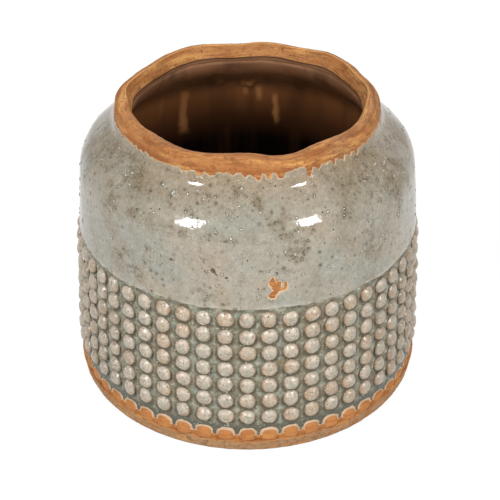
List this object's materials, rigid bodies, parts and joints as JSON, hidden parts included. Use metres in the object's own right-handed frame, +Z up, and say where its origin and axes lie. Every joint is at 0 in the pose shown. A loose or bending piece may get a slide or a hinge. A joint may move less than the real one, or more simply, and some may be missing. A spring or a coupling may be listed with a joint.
{
  "type": "hobnail planter",
  "caption": "Round stoneware planter with a hobnail lower wall, smooth shoulder, short neck, thick pinched lip of bare clay and a drain hole.",
  "frame": {"origin": "centre of the foot, on the ground that the pot stands on", "axes": "+Z up along the pot's axis out of its mouth, -Y towards the front where the glaze is chipped, +X to the right seen from the front"},
  "size_m": [0.2222, 0.2222, 0.186],
  "materials": {
    "bare_clay": "matte, finger-smoothed, unglazed",
    "hobnail_glaze": "gloss, thin over the hobnails",
    "ground_glaze": "gloss, pooled between the hobnails",
    "grey_glaze": "gloss, mottled grey-green",
    "brown_glaze": "gloss, dark brown"
  },
  "bodies": {
    "root": {"base_slab": "bare_clay", "hobnail_wall": "bare_clay", "shoulder": "bare_clay", "lip_coil": "bare_clay", "foot_hobnails": "bare_clay", "hobnail_row_1": "hobnail_glaze", "hobnail_row_2": "hobnail_glaze", "hobnail_row_3": "hobnail_glaze", "hobnail_row_4": "hobnail_glaze", "hobnail_row_5": "hobnail_glaze", "hobnail_row_6": "hobnail_glaze", "hobnail_row_7": "hobnail_glaze", "band_glaze": "ground_glaze", "shoulder_glaze": "grey_glaze", "liner_glaze": "brown_glaze"}
  },
  "joints": []
}
